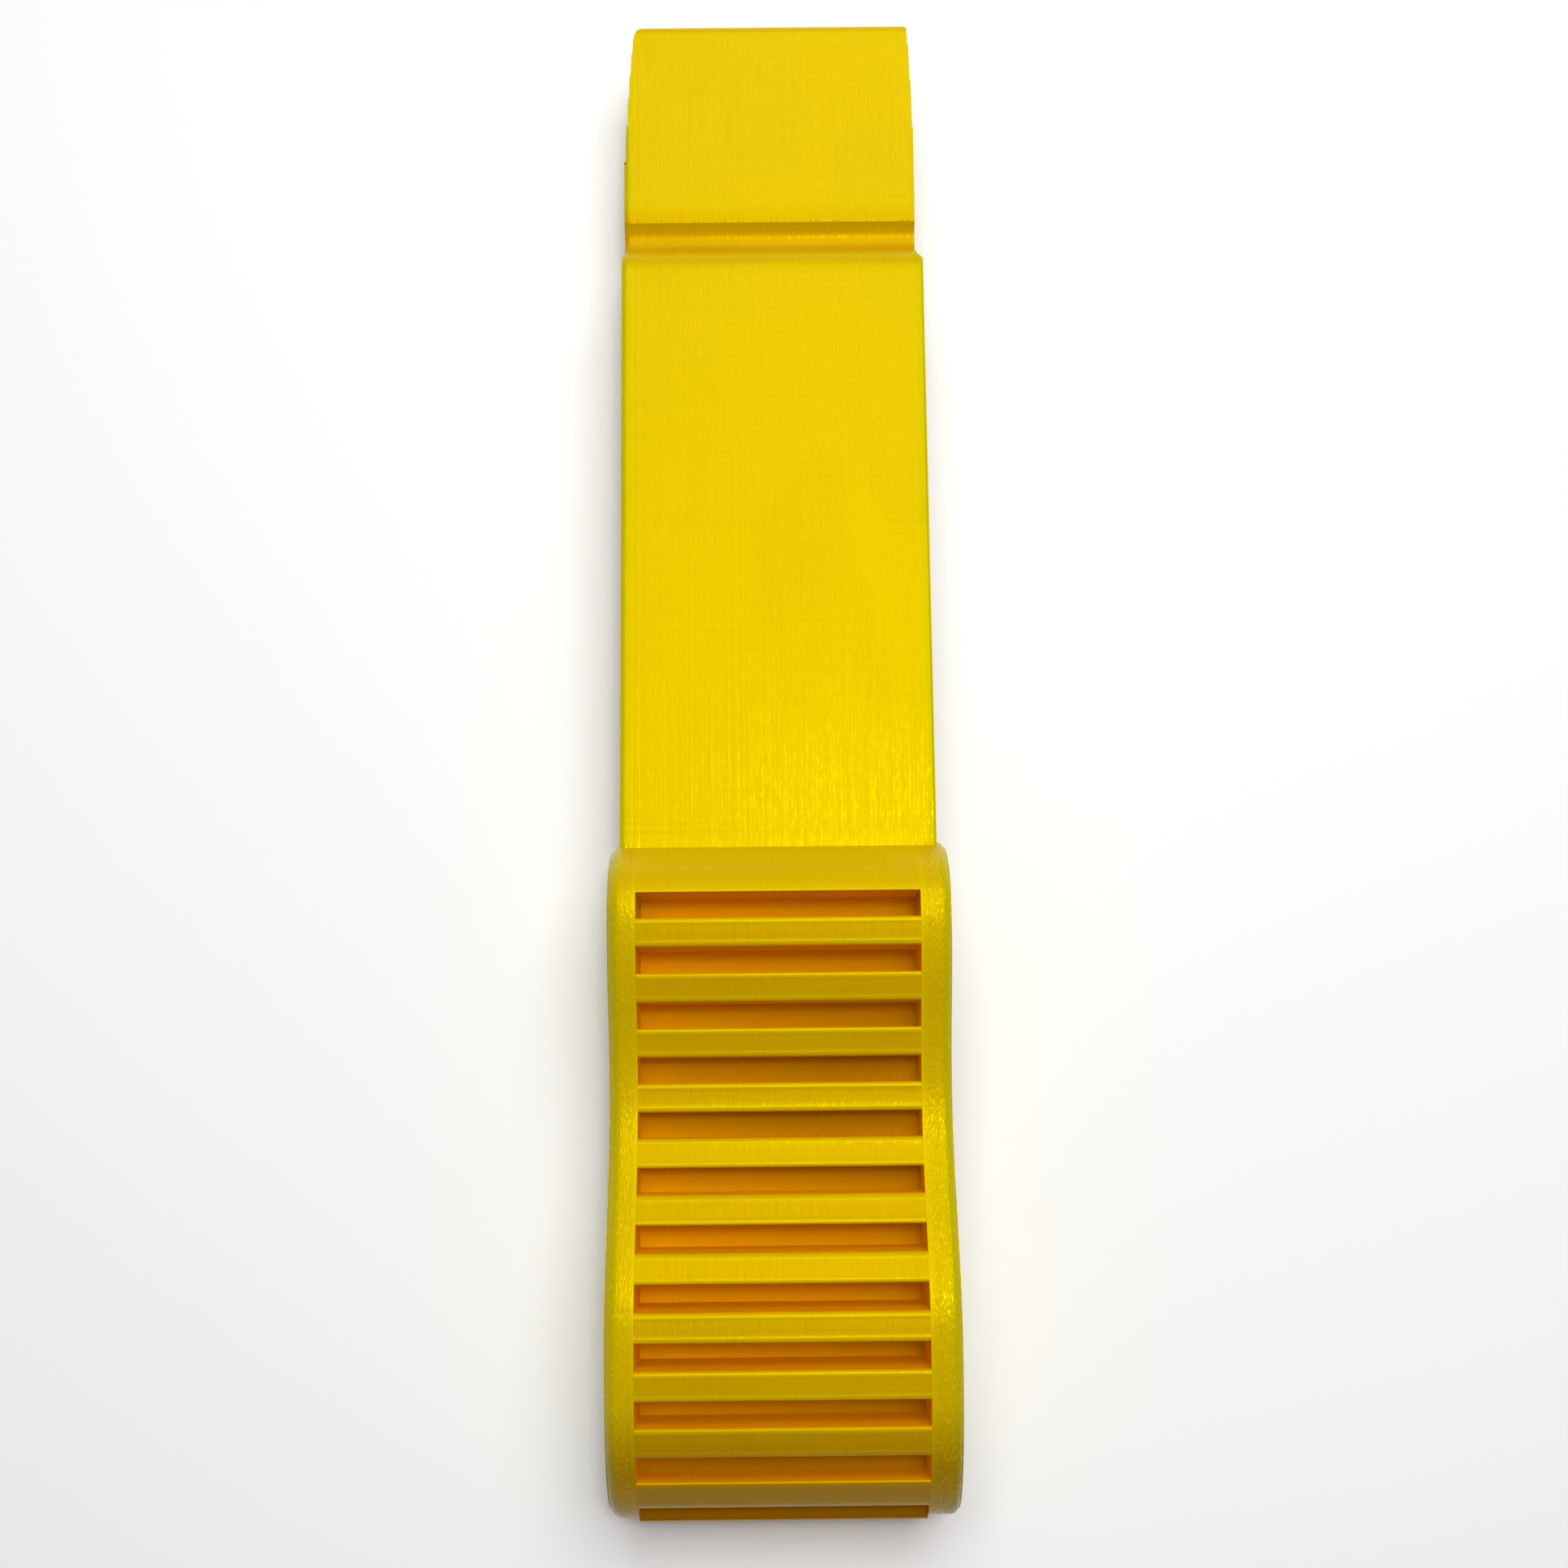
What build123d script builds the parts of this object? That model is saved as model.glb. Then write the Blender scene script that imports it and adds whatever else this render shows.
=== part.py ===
from build123d import *
import os

# A printed tyre lever: a flat blade with a hooked spoon tip, and a ribbed grip.
# Frame: X across the width, Y along the length with the tip at +Y, Z up.
# Every shape is drawn with its mid-plane at Z = 0 and the grip's front at Y = 0.
# The finished solids are then moved so that the origin is the centre of the box's floor.

# ------------------------------------------------------------------ driving dimensions, mm
# Blade, between the grip and the hook
SHOULDER = 0.9               # the blade stands this far inside each side of the grip
BLADE_THICKNESS = 9.0
BLADE_EDGE_RADIUS = 0.8      # rounding of the blade's four long edges
SHAFT_LENGTH = 71.3          # grip front to the face of the step

# Step and seat that catch the tyre's bead
STEP_BLOCK_LENGTH = 6.7      # stretch of blade right behind the step's face
STEP_HEIGHT = 3.3            # top of the blade above the tip's face
STEP_ROUND = 3.0             # rounding of the step's top front edge
SEAT_GROOVE_WIDTH = 4.4      # round-bottomed groove at the foot of the step
SEAT_GROOVE_DEPTH = 1.0
SEAT_BEVEL_LENGTH = 1.7      # shallow bevel from the tip's face down to the groove
SEAT_BEVEL_DROP = 0.3

# Spoon tip
TIP_LENGTH = 29.7            # step's face to the end of the tip
TIP_DRAW_IN = 1.15           # how far each side draws in by the end of the tip
TIP_RISE = 1.0               # how far the tip's face curls up at its end
TIP_THICKNESS = 2.6          # at the end of the tip
TIP_EDGE_RADIUS = 1.1        # rounding of the tip's end, top and bottom
TIP_CORNER_RADIUS = 0.9      # the tip's two corners, seen from above
TIP_TAPER_LENGTH = 27.0      # length over which the sides draw in
BELLY_LENGTH = 42.0          # length over which the underside sweeps up to the tip

# Grip
GRIP_WIDTH = 37.8
GRIP_EDGE_RADIUS = 1.2       # rounding of the rails' outer edges
NOSE_LENGTH = 6.5            # grip front to the first slot
NOSE_REACH = 8.2             # grip front to the front crest
FRONT_CREST = 10.4           # half thickness at the front crest
WAIST_AT = 29.2              # grip front to the waist
WAIST = 5.7                  # half thickness at the waist
REAR_CREST_AT = 53.6         # grip front to the rear crest
REAR_CREST = 11.4            # half thickness at the rear crest
BUTT_LENGTH = 1.8            # last rib to the end of the rails

# Slots, ribs and the web between the rails
SLOT_COUNT = 11              # closed slots in each face
SLOT_PITCH = 5.95
SLOT_WIDTH = 2.8
RAIL_WIDTH = 3.3
WEB_THICKNESS = 3.0          # plate that closes the slots from below
WEB_PROUD = 0.4              # how far the web stands out behind the rails
WEB_END_RADIUS = 0.8

# ------------------------------------------------------------------ places that follow
blade_width = GRIP_WIDTH - 2 * SHOULDER
tip_width = blade_width - 2 * TIP_DRAW_IN
blade_top = BLADE_THICKNESS / 2
face_top = blade_top - STEP_HEIGHT                 # the tip's face
step_y = SHAFT_LENGTH
groove_end_y = step_y + SEAT_GROOVE_WIDTH
seat_end_y = groove_end_y + SEAT_BEVEL_LENGTH
tip_y = step_y + TIP_LENGTH
shaft_end_y = step_y - STEP_BLOCK_LENGTH
slots_start_y = -NOSE_LENGTH
rib_width = SLOT_PITCH - SLOT_WIDTH
last_rib_end_y = slots_start_y - SLOT_COUNT * SLOT_PITCH
rail_end_y = last_rib_end_y - BUTT_LENGTH
web_end_y = rail_end_y - WEB_PROUD
inner_width = GRIP_WIDTH - 2 * RAIL_WIDTH
half_height = max(FRONT_CREST, REAR_CREST, blade_top)
clear = 5.0                                        # overrun of the cutting blocks

to_row_frame = Location((0, -(tip_y + web_end_y) / 2, half_height))


def block(x_range, y_range, z_range):
    """A box between two corners."""
    size = [high - low for low, high in (x_range, y_range, z_range)]
    middle = [(high + low) / 2 for low, high in (x_range, y_range, z_range)]
    return Pos(*middle) * Box(*size)


def blade_side_view():
    """The blade seen from the side, as a face in the YZ plane."""
    tip_top = face_top + TIP_RISE
    tip_bottom = tip_top - TIP_THICKNESS
    bevel_foot = face_top - SEAT_BEVEL_DROP
    groove_middle = (step_y + SEAT_GROOVE_WIDTH / 2, bevel_foot - SEAT_GROOVE_DEPTH)
    with BuildSketch(Plane.YZ) as view:
        with BuildLine():
            Line((slots_start_y, -blade_top), (slots_start_y, blade_top))
            Line((slots_start_y, blade_top), (step_y - STEP_ROUND, blade_top))
            RadiusArc((step_y - STEP_ROUND, blade_top), (step_y, blade_top - STEP_ROUND), STEP_ROUND)
            Line((step_y, blade_top - STEP_ROUND), (step_y, bevel_foot))
            ThreePointArc((step_y, bevel_foot), groove_middle, (groove_end_y, bevel_foot))
            Line((groove_end_y, bevel_foot), (seat_end_y, face_top))
            TangentArc((seat_end_y, face_top), (tip_y, tip_top), tangent=(1, 0))
            Line((tip_y, tip_top), (tip_y, tip_bottom))
            TangentArc((tip_y - BELLY_LENGTH, -blade_top), (tip_y, tip_bottom), tangent=(1, 0))
            Line((tip_y - BELLY_LENGTH, -blade_top), (slots_start_y, -blade_top))
        make_face()
    return view.sketch


def blade_plan():
    """The blade seen from above: parallel sides that draw in towards the tip."""
    half = blade_width / 2
    taper_y = tip_y - TIP_TAPER_LENGTH
    with BuildSketch(Plane.XY) as plan:
        with BuildLine():
            Line((-half, slots_start_y), (half, slots_start_y))
            Line((half, slots_start_y), (half, taper_y))
            TangentArc((half, taper_y), (tip_width / 2, tip_y), tangent=(0, 1))
            Line((tip_width / 2, tip_y), (-tip_width / 2, tip_y))
            TangentArc((-half, taper_y), (-tip_width / 2, tip_y), tangent=(0, 1))
            Line((-half, taper_y), (-half, slots_start_y))
        make_face()
        tip_corners = plan.vertices().group_by(Axis.Y)[-1]
        fillet(tip_corners, TIP_CORNER_RADIUS)
    return plan.sketch


def blade_section():
    """The blade cut across: a flat bar with rounded edges."""
    with BuildSketch(Plane.XZ) as section:
        RectangleRounded(blade_width, BLADE_THICKNESS, BLADE_EDGE_RADIUS)
    return section.sketch


def make_blade():
    """The whole blade, where its side view, plan and cross-section meet."""
    side = extrude(blade_side_view(), amount=blade_width, both=True)
    tip_edges = side.edges().filter_by(Axis.X).group_by(Axis.Y)[-1]
    side = fillet(tip_edges, TIP_EDGE_RADIUS)
    plan = extrude(blade_plan(), amount=BLADE_THICKNESS, both=True)
    bar = extrude(blade_section(), amount=tip_y + NOSE_LENGTH + clear, both=True)
    return side & plan & bar


def grip_half_view():
    """The grip's upper half seen from the side: nose, two crests, a waist and a round butt."""
    crest_y = -NOSE_REACH
    waist_y = -WAIST_AT
    rear_y = -REAR_CREST_AT
    with BuildSketch(Plane.YZ) as view:
        with BuildLine():
            EllipticalCenterArc((crest_y, 0), NOSE_REACH, FRONT_CREST, start_angle=0, arc_size=90)
            Spline((crest_y, FRONT_CREST), (waist_y, WAIST), tangents=((-1, 0), (-1, 0)))
            Spline((waist_y, WAIST), (rear_y, REAR_CREST), tangents=((-1, 0), (-1, 0)))
            EllipticalCenterArc((rear_y, 0), rear_y - rail_end_y, REAR_CREST, start_angle=90, arc_size=90)
            Line((rail_end_y, 0), (0, 0))
        make_face()
    return view.sketch


def make_grip_blank():
    """The grip before its slots are cut, with its outer edges rounded."""
    upper = grip_half_view()
    outline = upper + mirror(upper, about=Plane.XY)
    blank = extrude(outline, amount=GRIP_WIDTH / 2, both=True)
    side_loops = blank.faces().filter_by(Axis.X).edges()
    return fillet(side_loops, GRIP_EDGE_RADIUS)


# ------------------------------------------------------------------ the lever's regions
parts = {}
blade = make_blade()
grip = make_grip_blank()

wide = (-GRIP_WIDTH, GRIP_WIDTH)
tall = (-half_height - clear, half_height + clear)
between_rails = (-inner_width / 2, inner_width / 2)

parts["spoon_tip"] = blade & block(wide, (seat_end_y, tip_y + clear), tall)
parts["bead_seat"] = blade & block(wide, (step_y, seat_end_y), tall)
parts["bead_step"] = blade & block(wide, (shaft_end_y, step_y), tall)
parts["shaft"] = blade & block(wide, (slots_start_y - clear, shaft_end_y), tall)

parts["grip_nose"] = (grip & block(wide, (slots_start_y, clear), tall)) - blade

behind_nose = (rail_end_y - clear, slots_start_y)
parts["grip_rail_left"] = grip & block((-GRIP_WIDTH, -inner_width / 2), behind_nose, tall)
parts["grip_rail_right"] = grip & block((inner_width / 2, GRIP_WIDTH), behind_nose, tall)

web = block(between_rails, (web_end_y, slots_start_y), (-WEB_THICKNESS / 2, WEB_THICKNESS / 2))
web_end = web.faces().sort_by(Axis.Y)[0].edges().filter_by(Axis.X)
parts["grip_web"] = fillet(web_end, WEB_END_RADIUS)

above_web = (WEB_THICKNESS / 2, half_height + clear)
below_web = (-half_height - clear, -WEB_THICKNESS / 2)
for number in range(1, SLOT_COUNT + 1):
    rib_end_y = slots_start_y - number * SLOT_PITCH
    rib_stretch = (rib_end_y, rib_end_y + rib_width)
    parts[f"rib_upper_{number:02d}"] = grip & block(between_rails, rib_stretch, above_web)
    parts[f"rib_lower_{number:02d}"] = grip & block(between_rails, rib_stretch, below_web)

os.makedirs("parts", exist_ok=True)
for name, shape in parts.items():
    export_step(to_row_frame * shape, f"parts/{name}.step")

print(f"length {tip_y - web_end_y:.1f}, width {GRIP_WIDTH:.1f}, height {2 * half_height:.1f} mm")
print(f"{len(parts)} regions written")
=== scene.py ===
# %% [markdown]
# # A printed tyre lever
# The lever is one 3-D print: a flat blade that hooks under a tyre's bead, and a ribbed grip.
# It was printed lying on its side, so it is a stack of thin layers across its width. This lesson
# builds it the same way. Each region of the print is cut into an outline, and the outline is
# stacked layer by layer. A bump map could draw the layer lines too, but real layers also give
# the stepped edges and the small glints along them.

# %% Load the fixed frame
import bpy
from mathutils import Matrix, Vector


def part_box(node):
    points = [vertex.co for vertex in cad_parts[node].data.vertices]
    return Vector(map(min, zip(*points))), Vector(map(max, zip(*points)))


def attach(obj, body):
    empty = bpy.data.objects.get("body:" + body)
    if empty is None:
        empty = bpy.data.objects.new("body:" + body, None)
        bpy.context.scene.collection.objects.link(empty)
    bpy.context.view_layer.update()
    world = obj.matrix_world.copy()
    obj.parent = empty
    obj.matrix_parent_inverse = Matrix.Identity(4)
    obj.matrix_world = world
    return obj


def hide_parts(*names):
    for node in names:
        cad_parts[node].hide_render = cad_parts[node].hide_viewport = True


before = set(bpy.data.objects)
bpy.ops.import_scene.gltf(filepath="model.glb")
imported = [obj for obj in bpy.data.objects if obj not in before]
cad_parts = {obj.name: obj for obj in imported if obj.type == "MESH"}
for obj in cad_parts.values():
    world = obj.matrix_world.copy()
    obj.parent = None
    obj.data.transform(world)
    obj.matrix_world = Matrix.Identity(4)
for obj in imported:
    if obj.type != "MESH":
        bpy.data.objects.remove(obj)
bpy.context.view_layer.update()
print("frame nodes:", len(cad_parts))

# %% Tools and units
import math
import random

import bmesh
import bpy
from mathutils import Vector, noise

MM = 0.001
scene = bpy.context.scene

# %% [markdown]
# ## Where the lever's own surfaces lie
# Every place comes from the frame, so the looks follow the design if a size changes there.

# %% Places read from the frame
tip_low, tip_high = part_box("spoon_tip")
nose_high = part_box("grip_nose")[1]
rail_low, rail_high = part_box("grip_rail_right")
web_low, web_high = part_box("grip_web")
shaft_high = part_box("shaft")[1]

grip_half_width = rail_high.x
inner_half_width = rail_low.x
blade_half_width = shaft_high.x
middle_z = (web_low.z + web_high.z) / 2
print("grip", round(2 * grip_half_width / MM, 2), "mm wide, blade", round(2 * blade_half_width / MM, 2))

# %% [markdown]
# ## The layer grid
# A print is made of whole layers, 0.2 mm thick here. Each edge of a region moves to the nearest
# layer. That is why the left rail ends up one layer thicker than the right one.

# %% The layer grid
LAYER = 0.2 * MM
GROOVE = 0.013 * MM          # how deep the line between two layers is


def layer_index(x):
    """The layer edge nearest to x, counted from the grip's left side."""
    return math.floor((x + grip_half_width) / LAYER + 0.5)


def layer_x(index):
    return -grip_half_width + index * LAYER


layer_total = layer_index(grip_half_width)
print("layers across the grip:", layer_total)

# %% [markdown]
# ## Reading an outline from the design
# A plane across the width cuts each CAD node in a closed outline. The outline could be typed in
# again by hand, but a cut always agrees with the design. Cutting several nodes at once and
# leaving out the edges on the planes where they meet gives the outline of their union.

# %% Cut an outline
NEAR = 0.002 * MM


def cut_edges(node, x):
    """The edges where the plane at x cuts a CAD node, as pairs of (y, z)."""
    bm = bmesh.new()
    bm.from_mesh(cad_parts[node].data)
    bmesh.ops.remove_doubles(bm, verts=bm.verts, dist=NEAR / 2)
    everything = bm.verts[:] + bm.edges[:] + bm.faces[:]
    bmesh.ops.bisect_plane(bm, geom=everything, plane_co=(x, 0, 0), plane_no=(1, 0, 0),
                           clear_inner=True, clear_outer=True)
    pairs = [tuple((v.co.y, v.co.z) for v in e.verts) for e in bm.edges]
    bm.free()
    return pairs


# %% Join the cut edges
def runs_of(pairs):
    """Joins loose edges into runs of points, open or closed."""
    links, spot = {}, {}
    for a, b in pairs:
        ka, kb = (tuple(round(c / NEAR) for c in p) for p in (a, b))
        if ka != kb:
            spot[ka], spot[kb] = a, b
            links.setdefault(ka, []).append(kb)
            links.setdefault(kb, []).append(ka)
    runs, used = [], set()
    for start in sorted(links, key=lambda k: (len(links[k]), k)):
        if start in used:
            continue
        run = [start]
        used.add(start)
        while True:
            ahead = [k for k in links[run[-1]] if k not in used]
            if not ahead:
                break
            run.append(ahead[0])
            used.add(ahead[0])
        runs.append([spot[k] for k in run])
    return runs


def chain(pairs):
    """One closed outline from loose edges, anticlockwise seen from the right side."""
    runs = runs_of(pairs)
    points = runs.pop(0)
    while runs:
        gap = lambda p: (Vector(p) - Vector(points[-1])).length
        nearest = min(runs, key=lambda r: min(gap(r[0]), gap(r[-1])))
        runs.remove(nearest)
        points += nearest if gap(nearest[0]) < gap(nearest[-1]) else nearest[::-1]
    area = sum(a[0] * b[1] - b[0] * a[1] for a, b in zip(points, points[1:] + points[:1]))
    return points if area > 0 else points[::-1]


def outline_of(nodes, x, seams=()):
    """The outline of several nodes together. seams are the y places where they meet."""
    pairs = [p for node in nodes for p in cut_edges(node, x)]
    on_seam = lambda p: any(abs(p[0][0] - s) < NEAR and abs(p[1][0] - s) < NEAR for s in seams)
    return chain([p for p in pairs if not on_seam(p)])


# %% [markdown]
# ## Keeping a part of an outline
# Some pieces are only a length of the whole outline. The outline is clipped at a line across it,
# as a slicer would, so that both parts end on the same two points.

# %% Keep a part of an outline
def keep_behind(points, y_most):
    """Cuts an outline at y_most and keeps the part with lower y."""
    kept = []
    for a, b in zip(points, points[1:] + points[:1]):
        if a[0] <= y_most:
            kept.append(a)
        if (a[0] <= y_most) != (b[0] <= y_most):
            t = (y_most - a[0]) / (b[0] - a[0])
            kept.append((y_most, a[1] + t * (b[1] - a[1])))
    return kept


def keep_ahead(points, y_least):
    """Cuts an outline at y_least and keeps the part with higher y."""
    mirrored = keep_behind([(-y, z) for y, z in points], -y_least)
    return [(-y, z) for y, z in mirrored]


# %% [markdown]
# ## Evening out an outline
# The cut has too many points on some curves and too few on the straights. Points that add nothing
# go, and a smooth curve through the rest is divided evenly, so that small waves and dents can be
# given to the surface later. Real corners are kept.

# %% Thin out an outline
CORNER = math.radians(24)


def turn_at(a, b, c):
    first, second = Vector(b) - Vector(a), Vector(c) - Vector(b)
    return first.angle_signed(second, 0.0) if first.length and second.length else 0.0


def thin_out(points, reach=1.2 * MM, turn=math.radians(7)):
    """Keeps corners, and on curves only a point each 1.2 mm or each 7 degrees."""
    points = [p for p, q in zip(points, points[-1:] + points[:-1]) if (Vector(p) - Vector(q)).length > NEAR]
    turns = [turn_at(points[i - 1], p, points[(i + 1) % len(points)]) for i, p in enumerate(points)]
    start = max(range(len(points)), key=lambda i: abs(turns[i]))
    points, turns = points[start:] + points[:start], turns[start:] + turns[:start]
    kept, turned = [0], 0.0
    for i in range(1, len(points)):
        turned += abs(turns[i])
        gap = (Vector(points[i]) - Vector(points[kept[-1]])).length
        corner_next = abs(turns[(i + 1) % len(points)]) > CORNER and \
            (Vector(points[i]) - Vector(points[(i + 1) % len(points)])).length < 0.4 * reach
        if abs(turns[i]) > CORNER or (not corner_next and (gap > reach or turned > turn)):
            kept.append(i)
            turned = 0.0
    return [points[i] for i in kept], [abs(turns[i]) > CORNER for i in kept]


# %% Even out an outline
def even_out(points, spacing):
    """A smooth curve through the points between corners, divided evenly."""
    points, corners = thin_out(points)
    count, made = len(points), []
    for i in range(count):
        a, b = Vector(points[i]), Vector(points[(i + 1) % count])
        length = (b - a).length
        before, after = Vector(points[i - 1]), Vector(points[(i + 2) % count])
        lean_a = (b - a) / length if corners[i] else (b - before) / ((a - before).length + length)
        lean_b = (b - a) / length if corners[(i + 1) % count] else \
            (after - a) / ((after - b).length + length)
        steps = max(1, round(length / spacing))
        for j in range(steps):
            t = j / steps
            made.append(tuple(a * (2 * t ** 3 - 3 * t ** 2 + 1) + lean_a * length * (t ** 3 - 2 * t ** 2 + t)
                              + b * (3 * t ** 2 - 2 * t ** 3) + lean_b * length * (t ** 3 - t ** 2)))
    return made


# %% [markdown]
# ## Corners and directions
# A nozzle can't turn a corner sharply, so the edges beside the slots get a small arc. A bevel tool
# would do it too, but here the outline is still just a list of points.

# %% Round the corners
ARC_STEPS = 4


def round_corners(points, radius):
    """Replaces each corner of an outline with a short arc."""
    made = []
    for i, p in enumerate(points):
        a, c = Vector(points[i - 1]), Vector(points[(i + 1) % len(points)])
        here, angle = Vector(p), abs(turn_at(a, p, c))
        if angle < CORNER:
            made.append(p)
            continue
        reach = min(radius * math.tan(angle / 2), 0.45 * (here - a).length, 0.45 * (c - here).length)
        start, end = here + (a - here).normalized() * reach, here + (c - here).normalized() * reach
        for j in range(ARC_STEPS + 1):
            t = j / ARC_STEPS
            made.append(tuple((1 - t) ** 2 * start + 2 * t * (1 - t) * here + t ** 2 * end))
    return made


# %% Which way is out
def outward(points):
    """At each point, the direction out of the outline, longer where the outline turns."""
    normals = []
    for i, p in enumerate(points):
        e1 = (Vector(p) - Vector(points[i - 1])).normalized()
        e2 = (Vector(points[(i + 1) % len(points)]) - Vector(p)).normalized()
        n1, n2 = Vector((e1.y, -e1.x)), Vector((e2.y, -e2.x))
        middle = (n1 + n2).normalized()
        normals.append(middle / max(middle.dot(n1), 0.6))
    return normals


# %% [markdown]
# ## Stacking the layers
# Each layer adds two rings of points: one at its middle, standing full, and one at its edge, drawn
# in by the depth of the line between layers. No two layers are laid quite alike, so each one also
# stands a few hundredths of a millimetre in or out, and wanders along its length. Both come from
# a noise function, which gives the same print each time the script runs.

# %% How unevenly the layers were laid
WANDER = 0.012 * MM
RAIL_LAYERS = 17             # the layers of a rail, which were laid less evenly
SKIN = 1.2 * MM              # the solid layers at each side of a region
rng = random.Random(7)
layer_offset = [rng.gauss(0, 0.0022 * MM) for _ in range(layer_total + 1)]


def side_inset(x, low, high, low_radius, high_radius):
    """How far a layer at x draws in, to round the side edges of a region from low to high."""
    inset = 0.0
    for gap, radius in ((x - low, low_radius), (high - x, high_radius)):
        if gap < radius:
            inset = max(inset, radius - math.sqrt(max(radius ** 2 - (radius - gap) ** 2, 0)))
    return inset


def wander(k, y, z):
    """How far layer k stands out of true at (y, z). The rails' layers wander most."""
    slow = noise.noise((k * 0.07, y / (9 * MM), z / (9 * MM)))
    quick = noise.noise((k * 0.9, y / (1.6 * MM), z / (1.6 * MM) + 40))
    lumps = noise.noise((k * 5.3, y / (0.8 * MM), z / (0.8 * MM) + 90))
    outer = 1.0 if min(k, layer_total - 1 - k) < RAIL_LAYERS else 0.0
    return layer_offset[k] * (1 + outer) + WANDER * (0.8 * slow + 0.35 * quick + 0.45 * outer * lumps)


# %% The rings of a stack
def stack_rings(first, last, inset, cap_margin):
    """Each ring's x, how far it is drawn in, and its layer. A cap margin adds a ring inside each end face,
    so that the face can have a painted shade amount of its own."""
    rings = [(layer_x(first), inset(layer_x(first) + LAYER / 2) + GROOVE, first)]
    for k in range(first, last):
        middle = layer_x(k) + LAYER / 2
        rings.append((middle, inset(middle), k))
        beyond = inset(middle + LAYER) if k + 1 < last else inset(middle)
        rings.append((layer_x(k + 1), (inset(middle) + beyond) / 2 + GROOVE, k))
    if cap_margin:
        rings = [(rings[0][0], rings[0][1] + cap_margin, first)] + rings
        rings.append((rings[-1][0], rings[-1][1] + cap_margin, last - 1))
    return rings


def solid_skin(x, sides):
    """1 within the solid skin at one of the sides, 0 further in."""
    return max((min(1.0, max(0.0, (SKIN - abs(x - side)) / LAYER)) for side in sides), default=0.0)


# %% Close and shade a mesh
def tidy_mesh(mesh):
    """Merges doubled points, turns the faces outward, and returns how many edges are open."""
    bm = bmesh.new()
    bm.from_mesh(mesh)
    bmesh.ops.remove_doubles(bm, verts=bm.verts, dist=NEAR / 4)
    bmesh.ops.recalc_face_normals(bm, faces=bm.faces)
    open_edges = sum(1 for e in bm.edges if len(e.link_faces) != 2)
    bm.to_mesh(mesh)
    bm.free()
    mesh.shade_smooth()
    mesh.set_sharp_from_angle(angle=math.radians(35))
    return open_edges


# %% Stack an outline into layers
def stack_layers(name, points, first, last, inset=lambda x: 0.0, reshape=None, shade_at=None, sides=(),
                 cap_margin=0.0):
    """A closed mesh of the layers from index first to last. A function, if given, says how much painted
    shade a point gets, and sides are the x places of the region's outer sides, which have a solid skin."""
    normals, count = outward(points), len(points)
    rings = stack_rings(first, last, inset, cap_margin)
    verts, shade_amounts, skins = [], [], []
    for x, drawn_in, k in rings:
        skinned = solid_skin(x, sides)
        on_cap = cap_margin and len(verts) in (0, (len(rings) - 1) * count)
        for (y, z), n in zip(points, normals):
            shift = drawn_in - wander(k, y, z)
            spot = (y - n.x * shift, z - n.y * shift)
            if reshape:
                spot = reshape(x, k, *spot)
            verts.append((x, *spot))
            shade_amounts.append(shade_at(x, *spot) if shade_at and (on_cap or not cap_margin) else 0.0)
            skins.append(skinned)
    faces = [(r * count + i, r * count + (i + 1) % count,
              (r + 1) * count + (i + 1) % count, (r + 1) * count + i)
             for r in range(len(rings) - 1) for i in range(count)]
    caps = [tuple(range(count)), tuple(range(len(verts) - count, len(verts)))]
    mesh = bpy.data.meshes.new(name)
    mesh.from_pydata(verts, [], faces + caps)
    for label, amounts in (("painted_shade", shade_amounts), ("skin", skins)):
        mesh.attributes.new(label, "FLOAT", "POINT").data.foreach_set("value", amounts)
    open_edges = tidy_mesh(mesh)
    piece = bpy.data.objects.new(name, mesh)
    scene.collection.objects.link(piece)
    print(f"{name}: {last - first} layers, {len(mesh.polygons)} faces, {open_edges} open edges")
    return piece


def place(piece, finish, *nodes):
    """The piece stands for these CAD nodes, rides on the lever and takes its finish."""
    piece.data.materials.append(finish)
    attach(piece, "root")
    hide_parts(*nodes)
    return piece


# %% [markdown]
# ## The plastic
# The filament is a yellow that lets a little light through. Where light bounces about in a narrow slot it
# comes out amber, and over the solid skin at each side the yellow looks greener. A full subsurface shader
# would give some of this, but it leaves dark seams where two closed pieces touch, so the stacks carry two
# painted amounts instead: one paints the shade and bounced light of the slots and recesses into the colour,
# and the other marks the skin.

# %% A small helper for shader nodes
def add_node(tree, kind, inputs=(), **settings):
    """A node with its settings, and its inputs set to a value or linked to a socket."""
    node = tree.nodes.new("ShaderNode" + kind)
    for key, value in settings.items():
        setattr(node, key, value)
    for key, value in dict(inputs).items():
        if isinstance(value, bpy.types.NodeSocket):
            tree.links.new(value, node.inputs[key])
        else:
            node.inputs[key].default_value = value
    return node


def blend_color(tree, amount, first, second, mode="MIX"):
    """Two colours mixed or multiplied, by an amount."""
    return add_node(tree, "Mix", {0: amount, 6: first, 7: second},
                    data_type="RGBA", blend_type=mode).outputs[2]


def sums(tree, operation, *values):
    """A Math node of the values."""
    return add_node(tree, "Math", enumerate(values), operation=operation).outputs[0]


def ramp(tree, value, start, end, low=0.0, high=1.0):
    """Goes from low to high while the value goes from start to end."""
    return add_node(tree, "MapRange", {"Value": value, "From Min": start, "From Max": end,
                                       "To Min": low, "To Max": high}).outputs[0]
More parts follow.
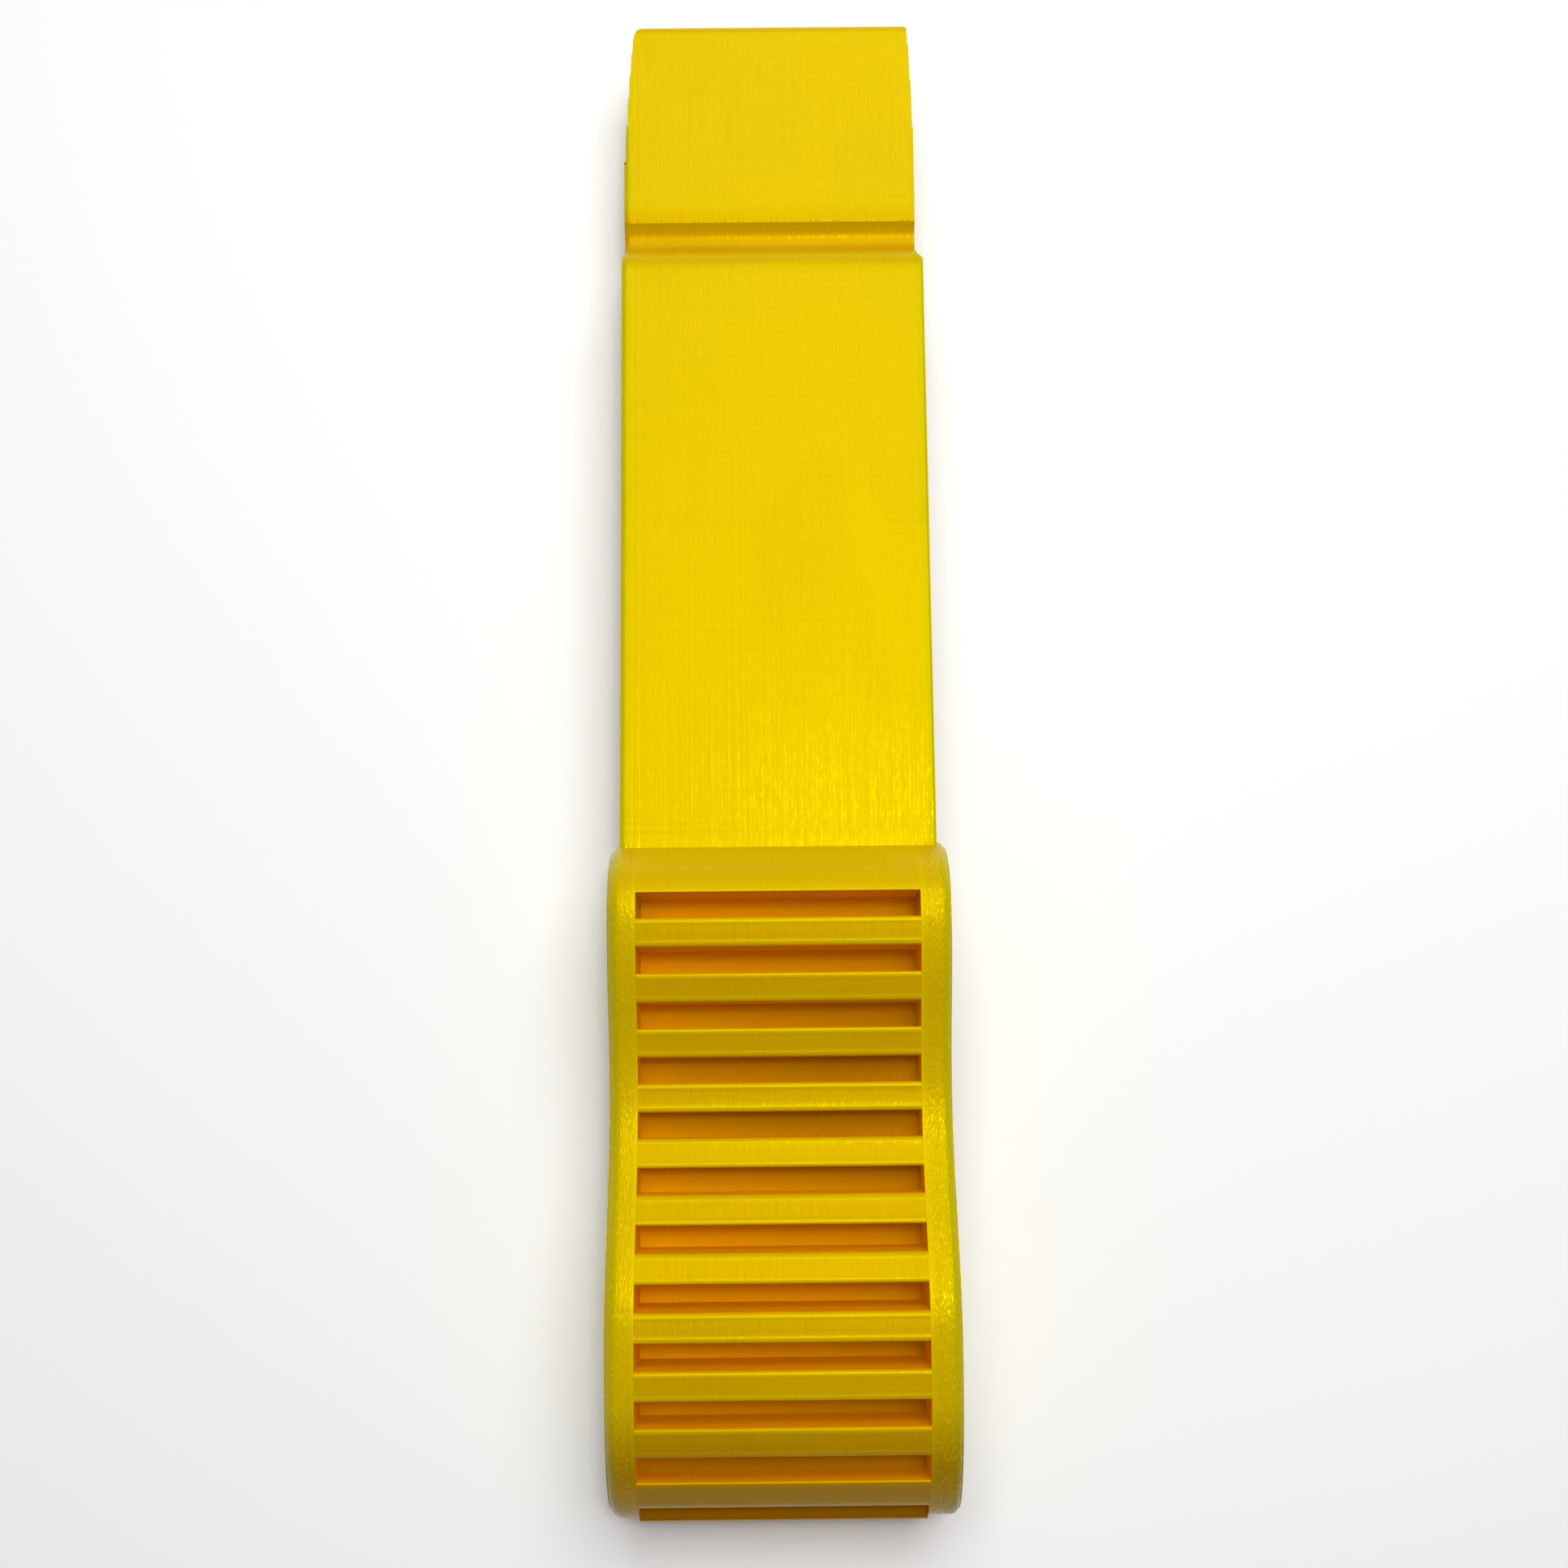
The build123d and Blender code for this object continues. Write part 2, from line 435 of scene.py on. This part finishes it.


# %% [markdown]
# ## The colours of the print
# The base is a warm yellow. HONEY, AMBER and BURNT are what it turns to with more painted shade: they paint
# the shade and bounced light of slots and recesses. SKIN_YELLOW is the greener tone of the solid skin.
# THROUGH_LIGHT is a painted glow for the little light that comes through the thin web into a slot. The rear
# end and the rails get a painted shade a little deeper, and the rails have pale flecks of painted glint.

# %% The colours
YELLOW = (0.62, 0.423, 0.0, 1)
HONEY = (0.535, 0.285, 0.0, 1)
AMBER = (0.79, 0.345, 0.0, 1)
THROUGH_LIGHT = (1.0, 0.45, 0.0, 1)
BURNT = (0.25, 0.085, 0.0, 1)
SKIN_YELLOW = (0.53, 0.43, 0.0, 1)
REAR_PAINTED_SHADE = (0.64, 0.52, 1.0, 1)
RAIL_PAINTED_SHADE = (0.92, 0.90, 1.0, 1)
PAINTED_GLINT = (0.95, 0.87, 0.04, 1)
BEAD_WIDTH = 0.45 * MM
RINGING = 0.95 * MM          # the ripple that the nozzle leaves after a sharp corner
BEAD_RELIEF, GRAIN_RELIEF, TICK_RELIEF, RAIL_RELIEF, RINGING_RELIEF = (
    h * MM for h in (0.03, 0.004, 0.006, 0.06, 0.008))
GLOW = 0.055
print("bead", BEAD_WIDTH / MM, "mm wide, ripple", RINGING / MM, "mm long")

# %% [markdown]
# ## The plastic's inputs
# The material reads where it is on the lever, which way the surface faces, and the two painted
# amounts. Everything below is worked out from these.

# %% What the plastic reads
plastic = bpy.data.materials.new("yellow_print")
plastic.use_nodes = True
tree = plastic.node_tree
shader = tree.nodes["Principled BSDF"]
place_in = add_node(tree, "TexCoord")
spot = place_in.outputs["Object"]
# the mesh's painted shade amount: the shade and bounced light of slots and recesses, painted into the colour
painted_shade = add_node(tree, "Attribute", attribute_name="painted_shade").outputs["Fac"]
skin = add_node(tree, "Attribute", attribute_name="skin").outputs["Fac"]
sideways = sums(tree, "ABSOLUTE", add_node(
    tree, "SeparateXYZ", {"Vector": place_in.outputs["Normal"]}).outputs["X"])
print("nodes that read the mesh:", len(tree.nodes) - 2)


# %% Short names for the arithmetic
def between(*values):
    return ramp(tree, *values)


def times(*values):
    return sums(tree, "MULTIPLY", *values)


def plus(*values):
    return sums(tree, "ADD", *values)


def scaled(value, factor, offset):
    return sums(tree, "MULTIPLY_ADD", value, factor, offset)


on_side = between(sideways, 0.8, 0.95)
off_side = sums(tree, "SUBTRACT", 1.0, on_side)

# %% [markdown]
# ## Patterns of the print
# Each layer cooled a little differently, so its tone and gloss are its own. Square patches of
# infill show through the flat faces. Image textures could do all this, but noise stretched along
# the layers has no seams and no size limit.

# %% Patterns
def grained(scale, **inputs):
    moved = add_node(tree, "Mapping", {"Vector": spot, "Scale": scale})
    return add_node(tree, "TexNoise", {"Vector": moved.outputs[0], "Scale": 1.0, **inputs}).outputs["Fac"]


layer_tone = grained((5200, 60, 60), Detail=1.0)
row_tone = grained((70, 2600, 2600), Detail=2.0)
cloud = grained((90, 45, 90), Detail=3.0)
grain = grained((9000, 9000, 9000), Detail=2.0)
squares = add_node(tree, "TexVoronoi", {
    "Vector": add_node(tree, "Mapping", {"Vector": spot, "Scale": (88, 52, 70)}).outputs[0],
    "Scale": 1.0, "Randomness": 0.85}, distance="CHEBYCHEV").outputs["Color"]
print("noise patterns:", sum(1 for node in tree.nodes if node.type == "TEX_NOISE"))

# %% [markdown]
# ## Where the tints lie
# Each mask is 1 where a tint or a texture belongs and 0 elsewhere. They could be painted by hand,
# but masks worked out from the mesh's own numbers follow the design.

# %% Masks: in a slot, painted glow through the web, painted shade at the rear end, on a rail
spot_parts = add_node(tree, "SeparateXYZ", {"Vector": spot}).outputs
along, across = spot_parts["Y"], sums(tree, "ABSOLUTE", spot_parts["X"])
in_slot = between(painted_shade, 0.5, 0.9)
lit_through = times(in_slot, between(painted_shade, 1.46, 1.43))
rear_painted_shade = between(along, web_low.y + 13.6 * MM, web_low.y + 6.6 * MM)
rear_painted_shade = times(times(rear_painted_shade, between(painted_shade, 0.6, 0.4)), off_side)
on_rail = times(between(across, inner_half_width, inner_half_width + 0.7 * MM),
                between(along, nose_high.y + 0.1 * MM, nose_high.y - 0.6 * MM))
on_rail = times(on_rail, off_side)
gloss_and_painted_glint = times(between(grained((4800, 2300, 2300), Detail=1.0), 0.57, 0.66, 0.0, 0.6), on_rail)

# %% [markdown]
# ## Colour
# The painted shade amount takes the yellow through honey and amber to burnt, which paints the shade and
# bounced light of the slots and recesses. The rear end and the rails get a painted shade, and the rails'
# flecks a painted glint. The tones of the layers, the rows and the infill then darken it a little, each by a
# few per cent.

# %% Colour
body = blend_color(tree, skin, YELLOW, SKIN_YELLOW)
body = blend_color(tree, between(painted_shade, 0.0, 0.5), body, HONEY)
body = blend_color(tree, between(painted_shade, 0.5, 1.0), body, AMBER)
body = blend_color(tree, between(painted_shade, 1.0, 1.5), body, BURNT)
# painted shade on the rear end and the rails, and painted glints on the rails' flecks
body = blend_color(tree, rear_painted_shade, body, REAR_PAINTED_SHADE, "MULTIPLY")
body = blend_color(tree, on_rail, body, RAIL_PAINTED_SHADE, "MULTIPLY")
body = blend_color(tree, times(gloss_and_painted_glint, 0.22), body, PAINTED_GLINT)
tone = plus(scaled(layer_tone, 0.06, 0.885), times(squares, 0.055))
tone = plus(plus(tone, times(row_tone, 0.09)), times(cloud, 0.05))
toned = add_node(tree, "CombineColor", {"Red": tone, "Green": tone, "Blue": tone}).outputs[0]
tree.links.new(blend_color(tree, 1.0, body, toned, "MULTIPLY"), shader.inputs["Base Color"])

# %% [markdown]
# ## Gloss
# A layer's gloss is its own too, and short ticks on the layers shine most. Inside the slots the surface is
# duller, and the flecks are glossier. One even gloss would look moulded.

# %% Gloss
rough = plus(scaled(layer_tone, 0.24, 0.17), times(grain, 0.10))
glint = between(grained((5200, 800, 800), Detail=0.0), 0.56, 0.66, 0.0, 0.20)
rough = sums(tree, "SUBTRACT", rough, times(glint, scaled(skin, 0.6, 0.4)))
rough = scaled(in_slot, 0.35, rough)
rough = scaled(gloss_and_painted_glint, -0.40, rough)
tree.links.new(rough, shader.inputs["Roughness"])

# %% [markdown]
# ## Relief
# The first and last layers were laid as slanting beads, seen only on the two side faces. A fine
# grain breaks up the gloss, and ticks along the layers catch the light on the rails. Past the nose
# the nozzle shook a little, which left a faint ripple. All are too low to be worth real geometry.

# %% Relief
slanted = add_node(tree, "Mapping", {"Vector": spot, "Rotation": (math.radians(45), 0, 0)})
beads = add_node(tree, "TexWave", {"Vector": slanted.outputs[0], "Scale": 0.314 / BEAD_WIDTH,
                                   "Distortion": 0.4, "Detail": 1.0, "Detail Scale": 200.0},
                 bands_direction="Y", wave_profile="SIN").outputs["Fac"]
height = scaled(grain, GRAIN_RELIEF, times(beads, times(on_side, BEAD_RELIEF)))
ticks = times(grained((4200, 1500, 1500), Detail=1.0), off_side)
height = scaled(ticks, scaled(on_rail, RAIL_RELIEF, TICK_RELIEF), height)
past_nose = sums(tree, "SUBTRACT", along, nose_high.y)
ripple = sums(tree, "SINE", times(past_nose, 2 * math.pi / RINGING))
fading = times(between(past_nose, 0.1 * MM, 0.6 * MM), between(past_nose, 4.6 * MM, 1.5 * MM))
height = scaled(ripple, times(fading, RINGING_RELIEF), height)
bump = add_node(tree, "Bump", {"Height": height, "Distance": 1.0, "Strength": 1.0})
tree.links.new(bump.outputs[0], shader.inputs["Normal"])

# %% [markdown]
# ## Light through the plastic
# A little light comes through the web into the slots, and it is painted there as a weak glow, an emission.
# The other values are the same all over, so they are set on the shader itself.

# %% Light through the plastic
tree.links.new(blend_color(tree, lit_through, (0, 0, 0, 1), THROUGH_LIGHT), shader.inputs["Emission Color"])
shader.inputs["Emission Strength"].default_value = GLOW
shader.inputs["IOR"].default_value = 1.46
shader.inputs["Specular IOR Level"].default_value = 0.6
shader.inputs["Specular Tint"].default_value = (1.0, 0.80, 0.0, 1)
print("nodes in the plastic:", len(tree.nodes))

# %% [markdown]
# ## The blade
# One run of plastic from the grip's nose to the spoon tip. Near the tip the outer layers stop
# early, so the sides draw in by steps. On the right side the three outermost layers stop at the
# bead step, which leaves a little notch there. They are a thin stack of their own, because a layer
# that folds back past the groove would close the groove's end.

# %% The blade's outline
BLADE_EDGES = 0.6 * MM, 0.4 * MM     # how round the left and the right edge are
TENON = 2.0 * MM                     # how far the blade runs into the grip's nose
BLADE_SPACING = 0.88 * MM
step_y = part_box("bead_seat")[0].y
step_start_y = shaft_high.y
seat_end_y = tip_low.y
blade_nodes = ("shaft", "bead_step", "bead_seat", "spoon_tip")
blade_cut = outline_of(blade_nodes, 0.0, seams=(step_start_y, step_y, seat_end_y))
blade_outline = even_out(keep_ahead(blade_cut, nose_high.y - TENON), BLADE_SPACING)
print("blade outline:", len(blade_outline), "points")

# %% Where each layer of the blade stops
NOTCH_LAYERS = 3
NOTCH_BACK, NOTCH_STEP = 1.2 * MM, 0.2 * MM     # the notch starts behind the step, by small steps
RIGHT_TAPER = 0.62                              # the right side draws in less than the left
TIP_CORNERS = {"left": 1.9 * MM, "right": 0.6 * MM}
blade_first, blade_last = layer_index(-blade_half_width), layer_index(blade_half_width)
notch_first = blade_last - NOTCH_LAYERS


def tip_end(x):
    """How far the designed tip reaches at x from the middle."""
    return max((y for e in cut_edges("spoon_tip", x) for y, z in e), default=seat_end_y)


def plan_reach(x):
    return tip_end(min(x, blade_half_width - 0.05 * MM))


tip_half_width = max(x for x in (i * 0.02 * MM for i in range(700, 900))
                     if tip_end(x) > tip_high.y - 0.6 * MM)
print("tip half width", round(tip_half_width / MM, 2))


def corner_cut(x, half_width, radius):
    """How much a rounded plan corner takes off the tip's reach at x."""
    into = x - (half_width - radius)
    return radius - math.sqrt(max(radius ** 2 - into ** 2, 0)) if into > 0 else 0.0


def layer_reach(k):
    x = layer_x(k) + LAYER / 2
    if k >= notch_first:
        return step_y - NOTCH_BACK - NOTCH_STEP * (k - notch_first)
    if x < 0:
        return plan_reach(-x) - corner_cut(-x, tip_half_width, TIP_CORNERS["left"])
    narrow = NOTCH_LAYERS * LAYER
    right_half = blade_half_width - narrow - RIGHT_TAPER * (blade_half_width - tip_half_width)
    designed = blade_half_width - (blade_half_width - narrow - x) / RIGHT_TAPER
    return plan_reach(max(designed, 0)) - corner_cut(x, right_half, TIP_CORNERS["right"])


reach = {k: layer_reach(k) for k in range(blade_first, blade_last)}
print("reach at the left side, middle and right side:",
      [round(reach[k] / MM, 1) for k in (blade_first, layer_total // 2, notch_first - 1, blade_last - 1)])

# %% Fold back what lies past a layer's end
blade_top = sorted(p for p, n in zip(blade_outline, outward(blade_outline)) if n.y > 0.3)
blade_bottom = sorted(p for p, n in zip(blade_outline, outward(blade_outline)) if n.y < -0.3)


def height_on(run, y):
    for a, b in zip(run, run[1:]):
        if a[0] <= y <= b[0]:
            return a[1] + (b[1] - a[1]) * (y - a[0]) / max(b[0] - a[0], 1e-9)
    return run[0][1] if y < run[0][0] else run[-1][1]


def stop_layer(x, k, y, z):
    """Points past the layer's end fold back on to its end face."""
    end = reach[k]
    if y <= end:
        return y, z
    low, high = height_on(blade_bottom, end), height_on(blade_top, end)
    return end, min(max(z, low), high)


# %% Stack the blade
# each one: how much, how far past its start, how far it spreads, how suddenly it ends
GROOVE_SHADE = 0.50, 2.2 * MM, 2.2 * MM, 4
CREST_SHADE = 0.08, -1.6 * MM, 1.7 * MM, 2
BEVEL_SHADE = 0.3, -0.9 * MM, 0.9 * MM, 4


def swell(y, start, amount, offset, spread, power):
    """An amount that peaks a little way past the start, and falls to 0 to both sides."""
    return amount * math.exp(-((y - (start + offset)) / spread) ** power)


def seat_painted_shade(x, y, z):
    """Painted shade, deep in the bead groove, and a little on the crest and the bevel. The side faces have
    none.
    """
    if x < layer_x(blade_first) + LAYER / 4 or x > layer_x(notch_first) - LAYER / 4:
        return 0.0
    groove = swell(y, step_y, *GROOVE_SHADE) if z > middle_z - MM else 0.0
    if z <= middle_z:
        return groove
    return groove + swell(y, step_y, *CREST_SHADE) + swell(y, seat_end_y, *BEVEL_SHADE)


blade_inset = lambda x: side_inset(x, layer_x(blade_first), layer_x(blade_last), *BLADE_EDGES)
side_outline = keep_behind(blade_outline, reach[notch_first])
blade_sides = (-blade_half_width, blade_half_width)
place(stack_layers("blade", blade_outline, blade_first, notch_first, inset=blade_inset,
                   reshape=stop_layer, shade_at=seat_painted_shade, sides=blade_sides), plastic, *blade_nodes)
place(stack_layers("blade_side", side_outline, notch_first, blade_last, inset=blade_inset,
                   reshape=stop_layer, shade_at=seat_painted_shade, sides=blade_sides), plastic, "shaft", "bead_step")

# %% [markdown]
# ## The grip's rails and nose
# The first layers of the grip are its left rail, whole from nose to butt, and the last are its
# right rail. The nose is the solid collar between them that the blade comes out of.

# %% The grip's outline
LEFT_EDGE, RIGHT_EDGE = 1.5 * MM, 1.0 * MM
beside_blade = blade_half_width + 0.05 * MM
nose_back_y = rail_high.y
grip_cut = outline_of(("grip_nose", "grip_rail_right"), beside_blade, seams=(nose_back_y,))
GRIP_SPACING, NOSE_SPACING, WEB_SPACING = 0.6 * MM, 0.5 * MM, 1.0 * MM
grip_outline = even_out(grip_cut, GRIP_SPACING)
left_inner, right_inner = layer_index(-inner_half_width), layer_index(inner_half_width)
print("grip outline:", len(grip_outline), "points")
print("rails:", left_inner, "and", layer_total - right_inner, "layers")

# %% Stack the rails
CAP_MARGIN = 0.3 * MM
rail_inset = lambda x: side_inset(x, -grip_half_width, grip_half_width, LEFT_EDGE, RIGHT_EDGE)


def wall_painted_shade(x, y, z):
    """Painted shade on the rails' inner walls, deep where the slots are."""
    return 1.0 if abs(abs(x) - inner_half_width) < 0.15 * MM and y < nose_back_y else 0.0


place(stack_layers("rail_left", grip_outline, 0, left_inner, inset=rail_inset, shade_at=wall_painted_shade,
                   sides=(-grip_half_width,), cap_margin=CAP_MARGIN), plastic, "grip_rail_left")
place(stack_layers("rail_right", grip_outline, right_inner, layer_total, inset=rail_inset,
                   shade_at=wall_painted_shade, sides=(grip_half_width,), cap_margin=CAP_MARGIN),
      plastic, "grip_rail_right")


# %% Stack the nose
SLOT_ROUND = 0.35 * MM


def nose_painted_shade(x, y, z):
    """Painted shade. The back wall is the end of a slot. The crest is a little more amber than the front."""
    on_wall = y < nose_back_y + 0.06 * MM and abs(z - middle_z) < nose_high.z - middle_z - 0.45 * MM
    return 0.95 if on_wall else 0.13 * min(1.0, max(0.0, (nose_high.y - 2.2 * MM - y) / MM))


nose_outline = round_corners(even_out(keep_ahead(grip_outline, nose_back_y), NOSE_SPACING), SLOT_ROUND)
place(stack_layers("nose", nose_outline, left_inner, right_inner, shade_at=nose_painted_shade), plastic, "grip_nose")

# %% [markdown]
# ## The web
# The web is the plate down the middle of the grip, and the floor of every slot. Its painted shade changes
# most: deep slots get painted bounced light, shallow ones less, and behind the last rib it is painted as a
# dark recess.

# %% The web
# painted shade amounts of the web's recess, lip and floor
RECESS, LIP, FLOOR, MOST_PAINTED_SHADE = 1.46, 0.45, 1.0, 1.42
SHALLOW_MORE, REAR_MORE, RIGHT_MORE = 0.42, 0.32, 0.10     # what adds to the floor's painted shade
BUTT_REACH = 30 * MM
web_outline = even_out(outline_of(("grip_web",), 0.0), WEB_SPACING)


def grip_half_height(y):
    """Half the grip's thickness at y, read from its outline."""
    return max(z for yy, z in grip_outline if abs(yy - y) < MM) - middle_z


def web_painted_shade(x, y, z):
    """Painted bounced light and shade on the floor: deep slots get more bounced light than shallow ones, and
    the lip at the butt none.
    """
    if y < web_low.y + 0.2 * MM:
        return LIP
    if y < last_rib_back - 0.1 * MM:
        return RECESS
    deep = min(1.0, (grip_half_height(y) - waist_half) / (crest_half - waist_half))
    behind = max(0.0, (web_low.y + BUTT_REACH - y) / BUTT_REACH)
    return min(MOST_PAINTED_SHADE, FLOOR + SHALLOW_MORE * (1 - deep) + REAR_MORE * behind
               + RIGHT_MORE * x / inner_half_width)


last_rib_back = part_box("rib_upper_11")[0].y
waist_half = min(grip_half_height(y / 1000) for y in range(-60, -25))
crest_half = rail_high.z - middle_z
place(stack_layers("web", web_outline, left_inner, right_inner, shade_at=web_painted_shade), plastic, "grip_web")

# %% [markdown]
# ## The ribs
# The ribs stand on both faces of the web, with a slot between each two. The nozzle turns at each
# edge and leaves a low rim there, so a rib's top isn't flat. The profile is worked out from the
# design's ridge line, which is simpler than modelling twenty-two ribs by hand.

# %% A rib's profile
RIM_WIDTH, RIM_HEIGHT, RIM_SPREAD = 0.5 * MM, 0.035 * MM, 0.16 * MM
ARC_ANGLES = (0, 18, 36, 54, 72, 90)
RIM_PLACES = (0.42, 0.5, 0.58, 0.68, 0.85, 1.15)
WALL_STEPS = (0, 0.25, 0.5, 0.75, 0.93)


def rib_profile(node):
    """A rib's outline: straight walls, rounded top edges, and a low rim beside each edge."""
    low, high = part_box(node)
    upper = low.z > middle_z
    cut = outline_of((node,), 0.0)
    foot_z = low.z if upper else high.z
    ridge = sorted((y, z) for y, z in cut if abs(z - foot_z) > 0.5 * MM)

    def top(y):
        edge = min(y - low.y, high.y - y)
        rim = swell(edge, 0.0, RIM_HEIGHT, RIM_WIDTH, RIM_SPREAD, 2)
        drop = SLOT_ROUND - math.sqrt(max(SLOT_ROUND ** 2 - max(SLOT_ROUND - edge, 0) ** 2, 0))
        lift = rim - drop
        return height_on(ridge, y) + (lift if upper else -lift)

    width = high.y - low.y
    near = [SLOT_ROUND * (1 - math.cos(math.radians(a))) for a in ARC_ANGLES]
    near += [edge * MM for edge in RIM_PLACES]
    across = [low.y + d for d in near] + [low.y + width / 2] + [high.y - d for d in reversed(near)]
    crown = [(y, top(y)) for y in across]
    walls = lambda y, end_z: [(y, foot_z + (end_z - foot_z) * t) for t in WALL_STEPS]
    points = walls(low.y, crown[0][1]) + crown + walls(high.y, crown[-1][1])[::-1]
    return points[::-1] if upper else points


# %% Make the ribs
# painted shade amounts of a rib's walls, top and rims
WALL_PAINTED_SHADE, TOP_PAINTED_SHADE, RIM_PAINTED_SHADE = 0.92, 0.34, 0.10


def make_rib(node):
    """One rib of the grip, with painted shade: amber on its walls and yellow along its rims."""
    low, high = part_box(node)

    def rib_painted_shade(x, y, z):
        edge = min(y - low.y, high.y - y)
        if edge < 0.08 * MM:
            return WALL_PAINTED_SHADE
        return TOP_PAINTED_SHADE if edge > RIM_WIDTH + 0.1 * MM else RIM_PAINTED_SHADE

    rib = stack_layers(node.replace("rib", "bar"), rib_profile(node), left_inner, right_inner,
                       shade_at=rib_painted_shade)
    return place(rib, plastic, node)


ribs = [make_rib(node) for node in sorted(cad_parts) if node.startswith("rib_")]
print("ribs:", len(ribs))

# %% [markdown]
# ## The table
# A round white table under the lever, so that the shadows and the light thrown back from below are
# right. It could be a wide plane, but that would fade to black where the lamps don't reach. The
# round top ends where it is about as bright as the room's wall, so low views stay pale.

# %% The table
TABLE_RADIUS, TABLE_X, TABLE_Y, RIM_POINTS = 0.50, 0.05, 0.15, 96
around = [math.tau * i / RIM_POINTS for i in range(RIM_POINTS)]
table_rim = [(TABLE_X + TABLE_RADIUS * math.cos(a), TABLE_Y + TABLE_RADIUS * math.sin(a), 0)
             for a in around]
table_mesh = bpy.data.meshes.new("table")
table_mesh.from_pydata(table_rim, [], [tuple(range(RIM_POINTS))])
table = bpy.data.objects.new("table", table_mesh)
scene.collection.objects.link(table)
table_finish = bpy.data.materials.new("white_table")
table_finish.use_nodes = True
table_shader = table_finish.node_tree.nodes["Principled BSDF"]
table_shader.inputs["Base Color"].default_value = (0.97, 0.97, 0.97, 1)
table_shader.inputs["Roughness"].default_value = 0.9
table_mesh.materials.append(table_finish)
print("table", 2 * TABLE_RADIUS, "m wide")

# %% [markdown]
# ## The room's light
# The room is dim and even, a little brighter ahead of the tip than behind the butt. A pale wall
# stands at the horizon, which low views see behind the table. A sky picture would do it too, but a
# small gradient is enough for a plain room.

# %% The room's light
world = bpy.data.worlds.new("studio")
scene.world = world
world.use_nodes = True
sky = world.node_tree
look = add_node(sky, "TexCoord").outputs["Generated"]
toward = add_node(sky, "SeparateXYZ", {"Vector": look}).outputs
room = ramp(sky, toward["Y"], -0.6, 0.6, 0.04, 0.14)
wall = ramp(sky, toward["Z"], 0.10, 0.24, 0.60, 0.0)
room = sums(sky, "MAXIMUM", room, wall)
sky.nodes["Background"].inputs["Color"].default_value = (1, 1, 1, 1)
sky.links.new(room, sky.nodes["Background"].inputs["Strength"])

# %% [markdown]
# ## The lamps
# A large softbox ahead and to the right gives the even light and the soft shadow on the left. A small
# lamp right above draws the long glints on the rails' crests. One lamp alone would be either too flat
# or too hard.

# %% The lamps
def softbox(name, location, aim, size, power):
    light = bpy.data.lights.new(name, "AREA")
    light.shape = "RECTANGLE"
    light.size, light.size_y = size
    light.energy = power
    lamp = bpy.data.objects.new(name, light)
    lamp.location = location
    lamp.rotation_euler = (Vector(aim) - Vector(location)).to_track_quat("-Z", "Y").to_euler()
    scene.collection.objects.link(lamp)
    return lamp


softbox("overhead_box", location=(0.05, 0.17, 0.50), aim=(0, 0.02, 0), size=(0.40, 0.40), power=2.58)
softbox("overhead_lamp", location=(0.04, 0.03, 0.50), aim=(0, -0.02, 0), size=(0.08, 0.05), power=0.46)

# %% [markdown]
# ## The camera
# The camera stands close above the grip and leans a little towards the tip, so the lever narrows
# away from the viewer. Its lens is a normal one, with no shift and no depth of field.

# %% The camera
camera = bpy.data.cameras.new("camera")
camera.lens = 42.58
camera.sensor_width = 36
camera_place = bpy.data.objects.new("camera", camera)
camera_place.location = (-0.00023, -0.03981, 0.22366)
camera_place.rotation_euler = (math.radians(8.93), math.radians(-0.17), math.radians(-0.60))
scene.collection.objects.link(camera_place)
scene.camera = camera_place
scene.view_settings.view_transform = "Standard"
print("camera lens", camera.lens, "mm")
